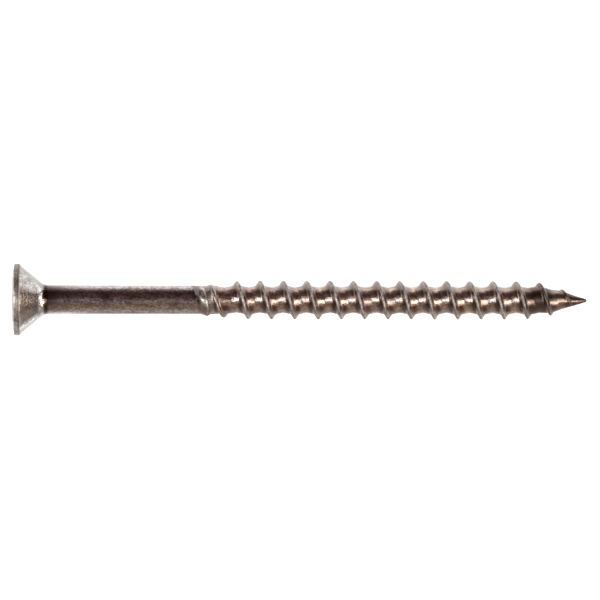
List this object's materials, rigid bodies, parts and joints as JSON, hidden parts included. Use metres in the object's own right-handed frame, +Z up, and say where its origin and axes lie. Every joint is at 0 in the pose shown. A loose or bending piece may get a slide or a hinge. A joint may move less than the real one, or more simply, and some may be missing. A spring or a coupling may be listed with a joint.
{
  "type": "deck screw",
  "caption": "Flat-head steel wood screw with a square drive recess, a plain shank, a coarse right-hand thread and a gimlet point.",
  "frame": {"origin": "middle of the footprint of the screw as it lies, on the surface that it lies on", "axes": "+X from the head towards the point, in line with the screw seen from above; +Z up. The screw lies on the rim of its head and on two crests near the point, so its own axis falls 1.9 degrees towards the point."},
  "size_m": [0.0636, 0.008, 0.0079],
  "materials": {
    "steel": "plain drawn and rolled steel with a warm brown cast, bright on the head and the thread and duller on the shank"
  },
  "bodies": {
    "root": {"screw": "steel"}
  },
  "joints": []
}
